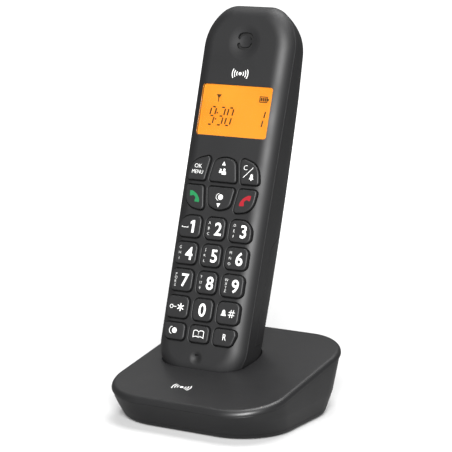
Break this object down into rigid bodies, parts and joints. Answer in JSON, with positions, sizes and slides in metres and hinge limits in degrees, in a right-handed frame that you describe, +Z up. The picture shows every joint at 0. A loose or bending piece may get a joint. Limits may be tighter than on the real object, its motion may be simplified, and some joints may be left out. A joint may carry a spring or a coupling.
{
  "type": "cordless phone with base",
  "caption": "Cordless telephone handset with display and keypad, leaning back in a low charging base.",
  "frame": {"origin": "middle of the object's footprint box, on the surface that the base stands on", "axes": "+Z up, -Y towards the user, in front of the keypad, +X to the user's right"},
  "size_m": [0.0836, 0.0965, 0.173],
  "materials": {
    "handset_plastic": "fine-grained satin",
    "key_plastic": "fine texture",
    "base_plastic": "satin with a glossy rim",
    "display_window": "clear, amber backlight behind it",
    "display": "backlit amber",
    "silicone": "matte",
    "circuit_board": "solder mask",
    "tinned_steel": "tinned",
    "speaker": "matte",
    "cell_jacket": "printed film",
    "spring_steel": "nickel plated",
    "contact_metal": "nickel plated",
    "screw_steel": "zinc plated",
    "socket_plastic": "moulded",
    "foot_rubber": "matte"
  },
  "bodies": {
    "base": {"base_cover": "base_plastic", "base_plate": "base_plastic", "base_board": "circuit_board", "line_jack": "socket_plastic", "power_jack": "socket_plastic", "base_feet": "foot_rubber", "base_screws": "screw_steel"},
    "handset": {"front_shell": "handset_plastic", "rear_shell": "handset_plastic", "display_window": "display_window", "lcd_module": "display", "keypad_mat": "silicone", "main_board": "circuit_board", "rf_shield": "tinned_steel", "earpiece": "speaker", "ringer": "speaker", "microphone": "tinned_steel", "battery_cells": "cell_jacket", "battery_springs": "spring_steel", "battery_plates": "spring_steel", "charge_pad_left": "contact_metal", "charge_pad_right": "contact_metal", "handset_screws": "screw_steel"},
    "cover": {"battery_cover": "handset_plastic"},
    "contact_left": {"contact_left": "contact_metal"},
    "contact_right": {"contact_right": "contact_metal"},
    "page_button": {"page_button": "base_plastic"},
    "key_menu": {"key_menu": "key_plastic"},
    "key_up": {"key_up": "key_plastic"},
    "key_clear": {"key_clear": "key_plastic"},
    "key_talk": {"key_talk": "key_plastic"},
    "key_down": {"key_down": "key_plastic"},
    "key_end": {"key_end": "key_plastic"},
    "key_1": {"key_1": "key_plastic"},
    "key_2": {"key_2": "key_plastic"},
    "key_3": {"key_3": "key_plastic"},
    "key_4": {"key_4": "key_plastic"},
    "key_5": {"key_5": "key_plastic"},
    "key_6": {"key_6": "key_plastic"},
    "key_7": {"key_7": "key_plastic"},
    "key_8": {"key_8": "key_plastic"},
    "key_9": {"key_9": "key_plastic"},
    "key_star": {"key_star": "key_plastic"},
    "key_0": {"key_0": "key_plastic"},
    "key_hash": {"key_hash": "key_plastic"},
    "key_intercom": {"key_intercom": "key_plastic"},
    "key_book": {"key_book": "key_plastic"},
    "key_recall": {"key_recall": "key_plastic"}
  },
  "joints": [
    {"name": "handset_lift", "type": "slide", "parent": "base", "child": "handset", "axis": [0, 0.2949, 0.9555], "range_m": [0, 0.04]},
    {"name": "battery_cover_lift", "type": "slide", "parent": "handset", "child": "cover", "axis": [0, 0.9996, 0.0284], "range_m": [0, 0.006]},
    {"name": "contact_left_press", "type": "slide", "parent": "base", "child": "contact_left", "axis": [0, -0.2949, -0.9555], "range_m": [0, 0.0008], "stiffness_N_per_m": 600, "springref_m": -0.0006},
    {"name": "contact_right_press", "type": "slide", "parent": "base", "child": "contact_right", "axis": [0, -0.2949, -0.9555], "range_m": [0, 0.0008], "stiffness_N_per_m": 600, "springref_m": -0.0006},
    {"name": "page_button_press", "type": "slide", "parent": "base", "child": "page_button", "axis": [0, -1, 0], "range_m": [0, 0.0008], "stiffness_N_per_m": 900, "springref_m": -0.0005},
    {"name": "key_menu_press", "type": "slide", "parent": "handset", "child": "key_menu", "axis": [0, 0.9555, -0.2949], "range_m": [0, 0.0007], "stiffness_N_per_m": 900, "springref_m": -0.0005},
    {"name": "key_up_press", "type": "slide", "parent": "handset", "child": "key_up", "axis": [0, 0.9555, -0.2949], "range_m": [0, 0.0007], "stiffness_N_per_m": 900, "springref_m": -0.0005},
    {"name": "key_clear_press", "type": "slide", "parent": "handset", "child": "key_clear", "axis": [0, 0.9555, -0.2949], "range_m": [0, 0.0007], "stiffness_N_per_m": 900, "springref_m": -0.0005},
    {"name": "key_talk_press", "type": "slide", "parent": "handset", "child": "key_talk", "axis": [0, 0.9555, -0.2949], "range_m": [0, 0.0007], "stiffness_N_per_m": 900, "springref_m": -0.0005},
    {"name": "key_down_press", "type": "slide", "parent": "handset", "child": "key_down", "axis": [0, 0.9555, -0.2949], "range_m": [0, 0.0007], "stiffness_N_per_m": 900, "springref_m": -0.0005},
    {"name": "key_end_press", "type": "slide", "parent": "handset", "child": "key_end", "axis": [0, 0.9555, -0.2949], "range_m": [0, 0.0007], "stiffness_N_per_m": 900, "springref_m": -0.0005},
    {"name": "key_1_press", "type": "slide", "parent": "handset", "child": "key_1", "axis": [0, 0.9555, -0.2949], "range_m": [0, 0.0007], "stiffness_N_per_m": 900, "springref_m": -0.0005},
    {"name": "key_2_press", "type": "slide", "parent": "handset", "child": "key_2", "axis": [0, 0.9555, -0.2949], "range_m": [0, 0.0007], "stiffness_N_per_m": 900, "springref_m": -0.0005},
    {"name": "key_3_press", "type": "slide", "parent": "handset", "child": "key_3", "axis": [0, 0.9555, -0.2949], "range_m": [0, 0.0007], "stiffness_N_per_m": 900, "springref_m": -0.0005},
    {"name": "key_4_press", "type": "slide", "parent": "handset", "child": "key_4", "axis": [0, 0.9555, -0.2949], "range_m": [0, 0.0007], "stiffness_N_per_m": 900, "springref_m": -0.0005},
    {"name": "key_5_press", "type": "slide", "parent": "handset", "child": "key_5", "axis": [0, 0.9555, -0.2949], "range_m": [0, 0.0007], "stiffness_N_per_m": 900, "springref_m": -0.0005},
    {"name": "key_6_press", "type": "slide", "parent": "handset", "child": "key_6", "axis": [0, 0.9555, -0.2949], "range_m": [0, 0.0007], "stiffness_N_per_m": 900, "springref_m": -0.0005},
    {"name": "key_7_press", "type": "slide", "parent": "handset", "child": "key_7", "axis": [0, 0.9555, -0.2949], "range_m": [0, 0.0007], "stiffness_N_per_m": 900, "springref_m": -0.0005},
    {"name": "key_8_press", "type": "slide", "parent": "handset", "child": "key_8", "axis": [0, 0.9555, -0.2949], "range_m": [0, 0.0007], "stiffness_N_per_m": 900, "springref_m": -0.0005},
    {"name": "key_9_press", "type": "slide", "parent": "handset", "child": "key_9", "axis": [0, 0.9555, -0.2949], "range_m": [0, 0.0007], "stiffness_N_per_m": 900, "springref_m": -0.0005},
    {"name": "key_star_press", "type": "slide", "parent": "handset", "child": "key_star", "axis": [0, 0.9555, -0.2949], "range_m": [0, 0.0007], "stiffness_N_per_m": 900, "springref_m": -0.0005},
    {"name": "key_0_press", "type": "slide", "parent": "handset", "child": "key_0", "axis": [0, 0.9555, -0.2949], "range_m": [0, 0.0007], "stiffness_N_per_m": 900, "springref_m": -0.0005},
    {"name": "key_hash_press", "type": "slide", "parent": "handset", "child": "key_hash", "axis": [0, 0.9555, -0.2949], "range_m": [0, 0.0007], "stiffness_N_per_m": 900, "springref_m": -0.0005},
    {"name": "key_intercom_press", "type": "slide", "parent": "handset", "child": "key_intercom", "axis": [0, 0.9555, -0.2949], "range_m": [0, 0.0007], "stiffness_N_per_m": 900, "springref_m": -0.0005},
    {"name": "key_book_press", "type": "slide", "parent": "handset", "child": "key_book", "axis": [0, 0.9555, -0.2949], "range_m": [0, 0.0007], "stiffness_N_per_m": 900, "springref_m": -0.0005},
    {"name": "key_recall_press", "type": "slide", "parent": "handset", "child": "key_recall", "axis": [0, 0.9555, -0.2949], "range_m": [0, 0.0007], "stiffness_N_per_m": 900, "springref_m": -0.0005}
  ]
}
